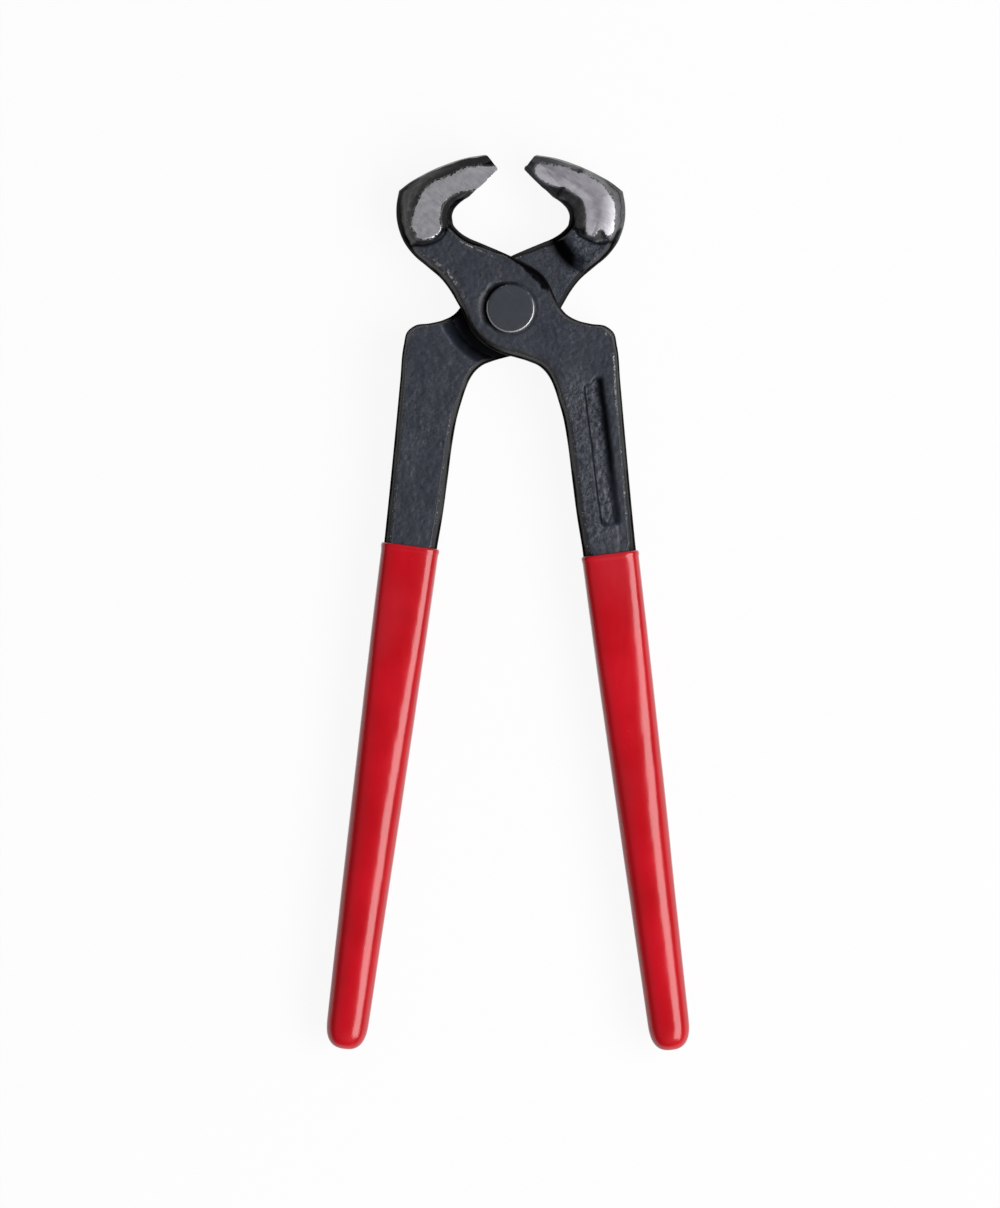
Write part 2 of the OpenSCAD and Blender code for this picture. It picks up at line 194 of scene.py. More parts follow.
def made_solid(name, grid, material, attributes, body, node, sharp=40):
    """Makes a piece from a grid of closed rings, in metres: neighbours along and around
    make quads, and each end ring is closed by quads between its upper and lower half.
    Each attribute gives the material one value per point."""
    stations, around = grid.shape[:2]
    index = np.arange(stations * around).reshape(stations, around)
    turn = np.roll(index, -1, axis=1)
    quads = [np.stack([index[:-1], turn[:-1], turn[1:], index[1:]], -1).reshape(-1, 4)]
    half = around // 2
    for row, flip in ((0, 1), (stations - 1, -1)):
        upper = index[row, :half + 1]
        lower = np.concatenate([index[row, :1], index[row, :half - 1:-1]])
        cap = np.stack([upper[:-1], upper[1:], lower[1:], lower[:-1]], -1)
        quads.append(cap[:, ::flip])
    quads = np.vstack(quads)
    corners = grid.reshape(-1, 3)[quads]
    normal = np.cross(corners[:, 1] - corners[:, 0], corners[:, 2] - corners[:, 0])
    volume = np.einsum("ij,ij->i", corners[:, 0], normal).sum()
    if volume < 0:
        quads = quads[:, ::-1]
    faces = quads.tolist()
    # the first and the last quad of a cap have one corner twice, and become triangles
    for i in (-2 * half, -half - 1, -half, -1):
        faces[i] = list(dict.fromkeys(faces[i]))
    mesh = new_piece(name, grid.reshape(-1, 3), faces, material, body, node, sharp)
    for key, values in attributes.items():
        layer = mesh.attributes.new(key, "FLOAT", "POINT")
        layer.data.foreach_set("value", np.ascontiguousarray(values, np.float32).ravel())


# Trimmed flash: a narrow land at the parting line, standing out of the forged side. At
# the cutting edges the land is as high as the jaw, where the bevels are ground.
land_z_a = [8.6, 8.2, 7.4, 6.0, 4.2, 2.8, 2.2, 2.0, 1.9, 1.8, 1.7, 1.6, 1.5, 1.5, 1.5]
land_z_b = [9.45, 9.45, 9.0, 5.6, 2.8, 2.0, 1.8, 1.7, 1.6, 1.6, 1.6, 1.6, 1.6, 1.6, 1.6]
land_w_a = [0.9, 0.9, 0.9, 0.8, 0.8, 0.9, 1.0, 1.1, 1.1, 1.0, 0.8, 0.6, 0.5, 0.5, 0.5]
land_w_b = [0.03, 0.03, 0.06, 0.4, 0.9, 1.0, 1.0, 1.0, 1.1, 1.2, 1.3, 1.3, 1.3, 1.2, 1.0]
# How far in the forged side of neck and web reaches the face, from each edge
face_a = [2.2, 2.6, 3.0, 3.2, 3.2, 3.0, 2.8, 2.6, 2.2, 1.9, 1.6, 1.4, 1.3, 1.3, 1.3]
face_b = [0.4, 0.5, 0.8, 1.6, 2.2, 2.4, 2.5, 2.4, 2.2, 2.0, 1.9, 1.9, 1.9, 1.7, 1.4]
# How wide the rough brown scale lies inside edge a of the outer face, painted darker as shade on
# the sloping side
dark_a = [0, 0, 0, 0, 0, 0, 0, 0, 0.5, 0.7, 1.0, 1.4, 1.8, 2.0, 2.0]
# How far the bevel at the cutting edge leans out towards the side that faces up
lean_b = [0.8, 0.78, 0.72, 0.5, 0.15, 0, 0, 0, 0, 0, 0, 0, 0, 0, 0]
# The same values on the web and on the shank
dark_web, dark_shank = 1.9, 1.2
web_land_w, shank_land_w = 0.4, 0.3
web_land_z, shank_land_z = 1.5, 1.2
web_face_w, shank_face_w = 1.15, 1.5
edge_round = 1.6
jaw_spare = 0.12
furrow_depth = 0.14
rivet_dish_r, rivet_dish_depth = 6.3, 0.75
# The lap: the circles of the other lever's heel and of the relief, and their slopes
heel_turn = np.radians(42)
heel_foot = 18.4
heel_r = 14.0
heel_slope = web_t / 2.6
lap_end_r, lap_end_slope = 24.5, 10
relief_r = 16.0
relief_shift = 3.3
relief_slope = web_t / 1.8
half_lap_gap = 0.05
front_soft, behind_soft = 4.0, 6.5
# The tang's taper, and the steps of the mesh
tang_power = 1.3
tang_rings, tip_rings = 23, 6
tip_turn = np.radians(84)
pitch = 0.36
face_columns, side_columns = 50, 17
ease_rings, ease_w = 14, 7.0
# Outlines of the ground sides, from the cutting edge round by the jaw's back, and of the
# foot of the step where the thick jaw drops to the neck
front_ground = [
    (5.0, 37.2), (-0.9, 36.15), (-4.8, 36.35), (-8.4, 35.85), (-12.3, 34.35), (-16.4, 33.05),
    (-18.8, 31.35), (-20.7, 28.65), (-21.9, 25.85), (-22.7, 23.45), (-22.8, 21.95),
    (-22.0, 21.05), (-21.7, 19.4), (-20.2, 18.9), (-18.4, 18.9), (-16.8, 19.5), (-15.7, 20.6),
    (-15.2, 21.85), (-15.4, 23.55), (-15.1, 25.35), (-14.2, 27.35), (-12.6, 28.95),
    (-10.4, 29.95), (-7.5, 30.55), (-5.2, 30.5), (-2.0, 30.2), (6.0, 31.0)]
back_ground = [
    (-2.6, 35.3), (-2.8, 36.45), (-6.7, 36.75), (-10.0, 36.55), (-12.6, 35.75),
    (-15.1, 35.25), (-17.7, 34.15), (-19.7, 33.15), (-21.5, 31.15), (-22.9, 29.25),
    (-23.6, 27.25), (-23.9, 23.95), (-23.8, 21.85), (-22.8, 20.2), (-22.2, 20.1),
    (-21.5, 20.8), (-20.8, 21.6), (-20.2, 21.7), (-19.7, 21.0), (-19.2, 20.1), (-18.5, 19.3),
    (-17.2, 19.9), (-16.5, 22.15), (-16.3, 24.85), (-15.7, 27.35), (-15.1, 28.55),
    (-12.9, 29.95), (-10.1, 31.35), (-7.6, 31.75), (-4.9, 32.95), (-2.9, 34.45)]
front_foot = [(-30, 18.2), (-21.8, 17.7), (-20.1, 17.5), (-17.8, 17.9), (-15.8, 18.8),
              (-14.4, 20.3), (-13.6, 21.7), (-12.5, 22.5), (-10.5, 22.8)]
back_foot = [(-30, 20.4), (-22.9, 18.8), (-21.1, 18.1), (-19.2, 18.2), (-17.1, 18.9),
             (-14.9, 19.9), (-13.9, 21.2), (-12.7, 22.3), (-10.5, 22.8)]
step_run = 1.5
jaw_root_y = 12
# The sunk panel on the outer face of the handle
panel_l, panel_w = 38.0, 5.5
panel_margin = 3.5
panel_y = -37.4
panel_corner_r = 1.3
panel_depth = 0.95


def per_station(s, tang, jaw_values, web_value, shank_value):
    """Widths along the lever, as a column: a list over the jaw, one value for the web and
    one for the shank, and the last of them times each of the tang's shares."""
    values = list(jaw_values) + [web_value] * web_pairs + [shank_value] * shank_pairs
    values = np.interp(s, np.arange(len(values)), values)
    return np.concatenate([values, values[-1] * tang])[:, None]


def inside_by(outline, x, y):
    """Distance to a closed outline, positive inside: the least distance to its sides, with
    the sign from the number of sides that a line to the right of the point crosses."""
    p = np.array(outline, float)
    step = np.linspace(0, len(p), len(p) * 4, endpoint=False)
    p = smooth_curve(np.vstack([p[-2:], p, p[:3]]), [], step + 2)
    q = np.roll(p, -1, axis=0)
    dx, dy = x.reshape(-1, 1) - p[:, 0], y.reshape(-1, 1) - p[:, 1]
    ex, ey = (q - p).T
    t = np.clip((dx * ex + dy * ey) / (ex * ex + ey * ey), 0, 1)
    near = np.sqrt(np.min((dx - t * ex) ** 2 + (dy - t * ey) ** 2, axis=1))
    level = (dy < 0) != (dy - ey < 0)
    crossed = level & (dx < ex * dy / np.where(ey == 0, 1e-9, ey))
    return np.where(crossed.sum(axis=1) % 2 == 1, near, -near).reshape(x.shape)


def marking_recess(x, y):
    """Depth of the sunk panel: full inside a rectangle with rounded corners that lies
    along the handle, its sides a little wavy, the outer wall wide and sloped. Gives the
    depth share, the shade painted black on its walls, and where the stamping left the steel
    grainy."""
    half_l, half_w = panel_l / 2, panel_w / 2
    c, s = np.cos(handle_turn), np.sin(handle_turn)
    mid_x = shoulder_half_w - panel_margin - half_w
    dx, dy = x - mid_x, y - panel_y
    across = dx * c + dy * s
    along = -dx * s + dy * c
    across = across + 0.09 * lumps(xyz(x, y), 3.0, 5)
    turn = np.clip((np.abs(along) - (half_l - panel_corner_r)) / panel_corner_r, 0, 1)
    corner = panel_corner_r * (1 - np.sqrt(np.clip(1 - turn ** 2, 0, 1)))
    left = smooth_step(across - corner - 0.7 * smooth_step(along, 15.5, half_l),
                       -half_w, 0.6 - half_w)
    right = 1 - smooth_step(across + corner, 0.5, half_w)
    slant = along + 1.5 * smooth_step(-across, -1.0, 1.2)
    ends = smooth_step(along, -half_l, 1.4 - half_l)
    ends = ends * (1 - smooth_step(slant, half_l - 1.6, half_l))
    # painted shade: black on the outer wall, and a thin line of it along the inner wall
    shade = bell(across - 1.7, 1.05) * ends * (0.45 + 0.55 * smooth_step(along, -15, 0))
    shade = np.maximum(shade, 0.8 * bell(across + 2.35, 0.28) * ends)
    coarse = (1 - smooth_step(across, 0.8, 1.8)) * smooth_step(along, -26, -18)
    return left * right * ends, shade, coarse * (1 - smooth_step(along, 15, 21))


def handle_section(y):
    """The handle inside the grip at distances y below the pivot: its middle line is
    straight, and it grows narrower and thinner with a power of the distance. Gives the
    share of the distance, the line's x, half the width and half the thickness."""
    share = np.maximum(0, (y - shank_end) / (tang_end - shank_end))
    taper = share ** tang_power
    return (share, shoulder_half_w - handle_w / 2 + (y - shank_end) * np.tan(handle_turn),
            (handle_w - (handle_w - tang_end_w) * taper) / 2,
            handle_half_t - (2 * handle_half_t - tang_end_t) / 2 * taper)


def lever_stations():
    """Stations a pitch apart along the longer edge, and after them the tang inside the
    grip, whose end is rounded by shares from one to almost zero. Gives the stations'
    places in the lists above, the tang's shares, both edges, the widths and heights of the
    lands, the widths of the forged sides, and the tang's half thickness."""
    fine = np.linspace(0, len(edge_a) - 1, 6000)
    a, b = smooth_curve(edge_a, corner_a, fine), smooth_curve(edge_b, corner_b, fine)
    run = np.maximum(np.linalg.norm(np.diff(a, axis=0), axis=1),
                     np.linalg.norm(np.diff(b, axis=0), axis=1))
    run = np.concatenate([[0], np.cumsum(run)])
    s = np.append(np.interp(np.arange(0, run[-1], pitch), run, fine), fine[-1])
    a, b = smooth_curve(edge_a, corner_a, s), smooth_curve(edge_b, corner_b, s)
    y = np.linspace(shank_end, tang_end - tang_tip_l, tang_rings + 1)[1:]
    turns = tip_turn * np.arange(1, tip_rings + 1) / tip_rings
    y = np.concatenate([y, tang_end - tang_tip_l * (1 - np.sin(turns) / np.sin(turns[-1]))])
    tang = np.concatenate([np.ones(tang_rings), np.cos(turns)])
    _, mid_x, half_w, half_t = handle_section(y)
    middle = np.stack([mid_x, -y], 1)
    reach = (half_w * tang)[:, None] * (np.cos(handle_turn), np.sin(handle_turn))
    thin = np.concatenate([np.zeros(len(s)), smooth_step(y - shank_end, 0.5, 6)])[:, None]
    land = [per_station(s, tang, w, web_land_w, shank_land_w) for w in (land_w_a, land_w_b)]
    top = [per_station(s, tang, z, web_land_z, shank_land_z) for z in (land_z_a, land_z_b)]
    to = [per_station(s, tang, w, web_face_w, shank_face_w) + 2.2 * thin for w in (face_a, face_b)]
    return (s, tang, np.vstack([a, middle - reach]), np.vstack([b, middle + reach]),
            land, top, to, (half_t * tang)[:, None])


def lapped(x, y, lower, seed):
    """The underside: the forged lower side, raised to a floor at the lap plane, with a
    rounded corner between them. In front of the pivot the floor ends in a slope along the
    curved heel, and behind it in one round the relief's circle. Also gives the floor, where
    it is cut deep into the forging, and the shade painted black in the pocket beside it."""
    spots = xyz(x, y)
    radius = np.hypot(x, y)
    heel = heel_foot + heel_r
    to_heel = np.hypot(x + heel * np.sin(heel_turn), y - heel * np.cos(heel_turn))
    front = np.minimum(half_lap_gap - np.maximum(0, heel_r - to_heel) * heel_slope,
                       half_lap_gap - lap_end_slope * np.maximum(0, radius - lap_end_r))
    front = np.where(y > 0, front, -99)
    to_shift = np.hypot(x, y - relief_shift)
    behind = half_lap_gap - np.maximum(0, to_shift - relief_r) * relief_slope
    floor = np.maximum(front, behind)
    under = -smooth_min(lower, -floor, np.where(y > 0, front_soft, behind_soft))
    under = np.maximum(under, floor)
    deep = smooth_step(under + lower, 0.1, 2.0)
    # painted shade: black on the heel's wall and on the deep floor in front of the pivot
    heel_wall_shade = 0.9 * bell(to_heel - heel_r + 0.2, 1.1)
    heel_end = 1 - smooth_step(-x + 0.6 * lumps(spots, 2.0, seed + 22), 13.5, 15.9)
    dark_front = heel_end * np.maximum(deep * (1 - smooth_step(floor, -0.8, 0.04)), heel_wall_shade)
    # painted shade: black round the relief behind the pivot, strongest next to the boss
    round_wall = 1 - smooth_step(to_shift + 0.5 * lumps(spots, 1.6, seed + 23), 15.6, 19.2)
    dark_behind = (np.maximum(round_wall, 0.5 * bell(to_shift - 17.9, 0.8))
                   * (0.72 + 0.28 * (1 - smooth_step(radius, 12.5, 15.5))))
    return under, floor, deep, np.where(y > 0, dark_front, dark_behind)


def wear_marks(s, x, y, off, to_edge_b, inside, step, upper, side_up, seed):
    """Marks of forging, of use and of painted light and shade, as shares: brown scale along
    the edges and over the jaw's back, darkened there as painted shade, glints where it is
    worn through, a wedge of painted shade, the hollow darkened nearly to black, a painted
    sheen beside it and a pale rim on the crown. Each is a smooth step or a bell of the distance
    to an edge or to the ground side, and most have a torn border."""
    spots = xyz(x, y)
    torn = 0.5 * lumps(spots, 0.9, seed + 24) + 0.25 * lumps(spots, 0.4, seed + 25)
    by_b, by_a = to_edge_b < off, to_edge_b > off
    dark_w = per_station(s, np.zeros(len(x) - len(s)), dark_a, dark_web, dark_shank)
    # brown scale along edge a and the handle's outer edge, and a dark band round the ground side
    # on the jaw's back: the brown is the scale's own, the darkness is painted shade on the sloping
    # sides
    scale_and_shade = (1 - smooth_step(off - dark_w + torn, -0.3, 0.3)) * smooth_step(dark_w, 0.2, 0.6)
    outer = (1 - smooth_step(to_edge_b - 1.3 + 0.3 * torn, -0.2, 0.2)) * smooth_step(-y, 10, 14)
    outer[len(s):] = 0
    near, far, most = (0.6, 2.0, 0.95) if side_up > 0 else (0.1, 0.9, 0.8)
    jaw_back_shade = (1 - smooth_step(-inside + torn, near, far)) * (inside < 0.1) * by_a * step
    along = 0.12 * pitch * np.arange(len(x))[:, None]
    streaks = lumps(xyz(off, along + 0 * x), 0.42, seed + 26)
    streaks = 0.45 * smooth_step(streaks, -0.1, 0.6) * (inside < 0) * by_a * step
    scale = np.maximum(0.9 * np.maximum(scale_and_shade, 0.75 * outer), np.maximum(most * jaw_back_shade, streaks))
    # along the handle's outer edge, beside the brown scale on boss and neck, below the
    # hollow, and in one spot at the shoulder's corner
    glint = (1.2 * bell(to_edge_b - 1.65, 0.26) * smooth_step(-y, 12.5, 14)
             * (1 - smooth_step(-y, 26, 31))
             + 0.5 * bell(off - dark_w - 0.1 + torn, 0.6) * smooth_step(y, 1, 5)
             * (1 - smooth_step(y, 15, 18))
             + 0.6 * bell(to_edge_b - 2.2, 0.3) * (x < 0) * smooth_step(y, 11, 14) * (y < 18)
             + 1.6 * bell(x - 23.2, 0.3) * bell(y + 8.1, 0.7))
    # under the boss's upper right edge a ragged wedge of shade is painted black
    shade_wedge_w = 2.2 * smooth_step(x, -2.5, 6.5) * (1 - smooth_step(x, 8.4, 10.8)) * (y > 2)
    shade_wedge = 1 - smooth_step(to_edge_b - shade_wedge_w + 0.6 * torn, -0.2, 0.25)
    shade_wedge = shade_wedge * smooth_step(shade_wedge_w, 0.1, 0.5) * smooth_step(upper, -1.5, 4.0)
    # the hollow's side is darkened nearly to black, with one paler groove along it
    hollow = smooth_step(-inside, 0.0, 0.4) * by_b * step
    hollow = hollow * (0.85 - 0.35 * bell(to_edge_b - 1.2 + 0.2 * torn, 0.22))
    hollow = hollow * (1.0 if side_up > 0 else 0.72 + 0.3 * torn)
    # a painted sheen: the ground steel beside the back lever's hollow is painted lighter, with a
    # rougher finish
    sheen = bell(inside - 0.9, 1.2) * by_b * (side_up < 0)
    pale = (1 - smooth_step(off + 0.3 * torn, 0.3, 0.9)) * smooth_step(y, 29, 34)
    return scale, glint, shade_wedge, hollow, sheen, pale


def lever_surface(ground, foot, crown, side_up, seed):
    """One lever with its web above the lap plane, jaws closed, in mm. A ring at each
    station runs from edge a up the flash land and the forged side, over the face to edge
    b, and back underneath. On neck, web and handle a height over the parting plane is the
    lowest of two sloping sides and the face, rounded where they meet. On the jaw it rises
    evenly from the land to the outline of the ground side, which is cut off flat. The
    two are joined by a step along the foot line. Gives the rings and the marks on them."""
    s, tang, a, b, (land_a, land_b), (top_a, top_b), (to_a, to_b), tang_half_t = lever_stations()
    head = len(s)
    width = np.linalg.norm(b - a, axis=1, keepdims=True)
    way = (b - a) / width
    to_a, to_b = np.minimum(to_a, 0.42 * width), np.minimum(to_b, 0.42 * width)
    ripple = lambda p, seed: 1 + 0.22 * lumps(xyz(*p.T), 1.9, seed)[:, None]
    land_a = np.minimum(land_a, 0.7 * to_a) * ripple(a, seed)
    land_b = np.minimum(land_b, 0.7 * to_b) * ripple(b, seed + 1)
    # a low land has an upright edge and a flat top, and a high one slopes all the way
    low_up, slope_up = np.array([0, 0.8, 0.96, 1, 1]), np.array([0, 0.25, 0.5, 0.75, 1])
    low_off = np.array([0, 0, 0.1, 0.35, 0.7])
    climb = np.linspace(0, 1, side_columns) ** 0.9

    def side(land, top, to):
        """Distances inwards from an edge, and shares of the land's height, of the columns
        over land and forged side."""
        high = smooth_step(top, 3.5, 6.5)
        off = land * (low_off + (slope_up - low_off) * high)
        over = land + (to - land + 0.35) * climb
        return np.concatenate([off, over], axis=1), low_up + (slope_up - low_up) * high

    off_a, rise_a = side(land_a, top_a, to_a)
    off_b, rise_b = side(land_b, top_b, to_b)
    off_b = width - off_b[:, ::-1]
    inner = np.linspace(0, 1, face_columns + 2)[1:-1]
    off_face = off_a[:, -1:] + (off_b[:, :1] - off_a[:, -1:]) * inner
    off = np.concatenate([off_a, off_face, off_b], axis=1)
    x = a[:, :1] + way[:, :1] * off
    y = a[:, 1:] + way[:, 1:] * off
    spots = xyz(x, y)
    to_edge_b = width - off
    from_a, from_b = np.maximum(off - land_a, 0), np.maximum(to_edge_b - land_b, 0)
    k = len(low_up)
    lands = ((slice(None, k), top_a, rise_a), (slice(-k, None), top_b, rise_b[:, ::-1]))

    inside = inside_by(ground, x, y)
    outside = np.maximum(-inside, 0)
    # further out the forged flanks ease over the small bends of that outline
    spread = bell(np.arange(-ease_rings, ease_rings + 1), ease_w)
    padded = np.pad(outside, ((ease_rings, ease_rings), (0, 0)), "edge")
    eased = sum(w * padded[i:i + len(x)] for i, w in enumerate(spread / spread.sum()))
    eased = outside + (eased - outside) * smooth_step(outside, 0.0, 1.0)
    above_foot = y - np.interp(x, *np.array(foot).T)
    step = smooth_step(above_foot, 0.05, step_run)
    step[head:] = 0
    flat = face_height(-y)
    flat[head:] = tang_half_t

    def forged(z, seed):
        """Height of the as-forged surface, with shares of edge and of sloping side. Lumps
        of three sizes make its skin uneven."""
        skin = (0.05 * lumps(xyz(x, y, z), 1.1, seed)
                + 0.035 * lumps(xyz(x, y, z), 0.55, seed + 1)
                + 0.12 * lumps(xyz(x, y, z), 6.0, seed + 2) - 0.03)
        side_a = top_a + (flat - top_a) * from_a / np.maximum(to_a - land_a, 0.1)
        side_b = top_b + (flat - top_b) * from_b / np.maximum(to_b - land_b, 0.1)
        web = smooth_min(smooth_min(flat + skin, side_a, edge_round), side_b, edge_round)
        jaw_a = top_a + (jaw_half_w - top_a) * from_a / (from_a + eased + 1e-6)
        jaw_b = top_b + (jaw_half_w - top_b) * from_b / (from_b + eased + 1e-6)
        jaw = smooth_min(jaw_a, jaw_b, 0.5) + jaw_spare + skin * smooth_step(outside, 0, 0.5)
        height = web + (jaw - web) * step
        for columns, top, rise in lands:
            least = np.maximum(height[:, columns], 0.9 * top * rise)
            height[:, columns] = np.minimum(top * rise, least)
        low = np.minimum(side_a, side_b)
        edge = np.maximum(1 - np.abs(low - flat) / 2.2, 0) * (1 - step)
        return height, edge, smooth_step(flat - low, -0.9, 0.7) * (1 - step)

    upper, edge_u, band_u = forged(5, seed + 3)
    lower, edge_l, band_l = forged(-5, seed + 6)
    # a furrow runs where the land meets the side and along the step's foot, sunk a little and
    # painted black as the shade in it
    broken = smooth_step(lumps(spots, 4.0, seed + 20), -0.7, 0.2)
    lines = 0.7 * bell(from_b - 0.75, 0.16) * smooth_step(-y, 8, 14)
    lines = lines + 0.8 * bell(from_b - 0.1, 0.2) * smooth_step(-y, 8, 14)
    risen = upper - np.where(from_a < from_b, top_a, top_b)
    land_line = bell(np.minimum(from_a, from_b) - 0.1, 0.28)
    land_line = land_line * (1 - 0.85 * smooth_step(risen, 0.8, 2.2))
    foot_line = bell(above_foot - 0.1, 0.42) * (inside < 0.2) * (y > jaw_root_y) * (x < -9)
    seam = np.maximum(np.maximum(land_line * broken, lines * (0.7 + 0.3 * broken)), foot_line)
    seam = seam * np.where(y > jaw_root_y, smooth_step(outside, 0, 0.4), 1)
    seam = seam * (1 - 0.7 * smooth_step(y, 23, 26))
    seam[:, :k - 1] = seam[:, 1 - k:] = 0
    seam[head:] = 0
    # the face is sunk round the rivet's head, widest at its left, and the head's shadow is painted
    # black in that dip, strongest at its upper left
    radius = np.hypot(x, y)
    left_up = np.clip((0.35 * y - x) / (radius + 0.1), -1, 1)
    left_up = left_up + 0.35 * lumps(spots, 2.0, seed + 21)
    dish_and_shadow = bell(radius - rivet_dish_r, 0.35 + 1.0 * smooth_step(left_up, 0.2, 1.1))
    dish_and_shadow = dish_and_shadow * (0.25 + 0.75 * smooth_step(left_up, -0.2, 0.7))
    recess, shade, grainy = marking_recess(x, y)
    recess[head:], shade[head:] = 0, 0
    upper = (upper - furrow_depth * seam - rivet_dish_depth * dish_and_shadow
             - recess * (panel_depth + 0.13 * lumps(spots, 0.9, seed + 9)))
    lower = lower - furrow_depth * seam
    # the stone cuts the side that faces up with a crown, and the other one flat
    stone = (jaw_half_w - crown * (1 - np.clip((off - 1.6) / 5.4, 0, 1)) ** 2
             - 0.25 * crown * (1 - np.clip((to_edge_b - 3.4) / 2.6, 0, 1)) ** 2)
    upper = np.minimum(upper, stone if side_up > 0 else jaw_half_w)
    lower = np.minimum(lower, stone if side_up < 0 else jaw_half_w)
    under, floor, deep, pocket_shade = lapped(x, y, lower, seed)
    under[:, [0, -1]] = np.maximum(0, floor[:, [0, -1]])
    upper[:, [0, -1]] = under[:, [0, -1]]
    upper = np.maximum(upper, under)

    both = lambda u, l: np.concatenate([u, l[:, -2:0:-1]], axis=1)
    ring = both(xyz(x, y, upper), xyz(x, y, under))
    share = np.clip(both(off, off) / width, 0, 1)
    lean = per_station(s, tang, lean_b, 0, 0)
    ring[..., 1] -= lean * share ** 2 * side_up * ring[..., 2] / jaw_half_w

    def ragged(seed):
        """Depth inside a torn outline of the ground side, steeper beside the hollow."""
        rim = inside - 0.22 + 0.14 * lumps(spots, 0.9, seed) + 0.12 * lumps(spots, 0.38, seed + 1)
        return np.where((to_edge_b < off) & (rim < 0), 3 * rim, rim)

    scale, glint, shade_wedge, hollow, sheen, pale = wear_marks(
        s, x, y, off, to_edge_b, inside, step, upper, side_up, seed)
    # black gathers the painted shade of the furrows, the rivet's head, the panel's walls and the
    # wedge, and the darkened hollow
    black = np.maximum.reduce([seam, dish_and_shadow, shade, shade_wedge, hollow])
    # the lapped side's jaw is grainy, and the pillow beside the heel grainier and so lighter:
    # partly grain, partly painted light on a slope turned from the lamp
    grain_and_painted_light_jaw = (0.4 + 0.6 * smooth_step(-x, 11.5, 14.5)) * (y > 0)
    return ring, {
        "ground": both(ragged(seed + 12), ragged(seed + 14)), "jaw": both(step, step),
        "edge": both(edge_u, edge_l * (1 - pocket_shade)),
        "band": both(np.maximum(band_u, scale), band_l), "pocket_shade": both(0 * pocket_shade, pocket_shade),
        "grainy": both(grainy, grain_and_painted_light_jaw), "glint": both(glint, 0 * glint),
        "black": both(black, np.maximum(seam * (1 - deep), hollow)), "sheen": both(pale, sheen)}


def on_bench(ring, turned):
    """Opens a lever by half the drawn angle, turns the back one over about the Y axis,
    and lifts it to the lap plane; mm become metres."""
    c, s = np.cos(half_open), np.sin(half_open)
    x, y, z = ring[..., 0], ring[..., 1], ring[..., 2]
    x, y = c * x - s * y, s * x + c * y
    if turned:
        x, z = -x, -z
    return xyz(x, y, z + lap_z) * mm


class Wire:
    """A shader socket that Python's operators work on: each adds a Math node."""
    tree = None

    def __init__(self, socket):
        """Holds the socket that a value comes out of."""
        self.socket = socket

    @staticmethod
    def node(kind, inputs=(), out=0, **settings):
        """Adds a node: settings first, then the values or wires of its sockets."""
        made = Wire.tree.nodes.new(kind)
        stops = settings.pop("stops", None)
        for key, value in settings.items():
            setattr(made, key, value)
        if stops:
            ramp = made.color_ramp
            for place, _ in stops[1:-1]:
                ramp.elements.new(place)
            for element, (place, colour) in zip(ramp.elements, stops):
                element.position, element.color = place, colour
        for key, value in dict(inputs).items():
            if isinstance(value, Wire):
                Wire.tree.links.new(value.socket, made.inputs[key])
            else:
                made.inputs[key].default_value = value
        return Wire(made.outputs[out])

    @staticmethod
    def maths(operation, *values):
        """Adds a Math node on numbers or wires."""
        return Wire.node("ShaderNodeMath", enumerate(values), operation=operation)

    def __add__(self, other): return Wire.maths("ADD", self, other)
    def __sub__(self, other): return Wire.maths("SUBTRACT", self, other)
    def __rsub__(self, other): return Wire.maths("SUBTRACT", other, self)
    def __mul__(self, other): return Wire.maths("MULTIPLY", self, other)
    __radd__, __rmul__ = __add__, __mul__

    def most(self, other):
        """The higher of this and the other."""
        return Wire.maths("MAXIMUM", self, other)

    def between(self, low, high):
        """Zero below low, one above high, smooth between."""
        return Wire.node("ShaderNodeMapRange", {"Value": self, 1: low, 2: high},
                         interpolation_type="SMOOTHSTEP")

    def mixed(self, first, second):
        """First colour where this is zero, second where it is one."""
        pick = lambda c: c if isinstance(c, Wire) else (*c, 1)
        return Wire.node("ShaderNodeMix", {0: self, 6: pick(first), 7: pick(second)}, out=2,
                         data_type="RGBA")


def new_material(name):
    """An empty material whose tree the next wires go into, with its output node."""
    material = bpy.data.materials.new(name)
    material.use_nodes = True
    Wire.tree = material.node_tree
    Wire.tree.nodes.clear()
    return material, Wire.tree.nodes.new("ShaderNodeOutputMaterial")


def attribute(name):
    """The values per point that a mesh holds under a name."""
    return Wire.node("ShaderNodeAttribute", out="Fac", attribute_name=name)


def grain(place, scale, detail=3, rough=0.55, stretch=(1, 1, 1)):
    """Noise on a place vector, finer as scale grows, pulled along an axis by stretch."""
    moved = Wire.node("ShaderNodeMapping", {"Vector": place, "Scale": stretch})
    return Wire.node("ShaderNodeTexNoise", {"Vector": moved, "Scale": scale, "Detail": detail,
                                            "Roughness": rough}, out="Fac")


# Linear colours of the forging, from its scale to the steel where it is ground or worn
scale_tones = ((0.0205, 0.025, 0.037), (0.0275, 0.033, 0.048))
scale_pale = (0.072, 0.085, 0.113)
scale_deep = (0.006, 0.007, 0.010)
pit_tone = (0.006, 0.006, 0.008)
brown_shade_tone = (0.010, 0.0092, 0.0082)
near_black_tone = (0.0025, 0.0025, 0.0032, 1)
sheen_tone = (0.92, 0.90, 0.94)
rim_tone = (0.22, 0.22, 0.22)
worn_tone = (0.42, 0.41, 0.40)
brush_turn = 0.6


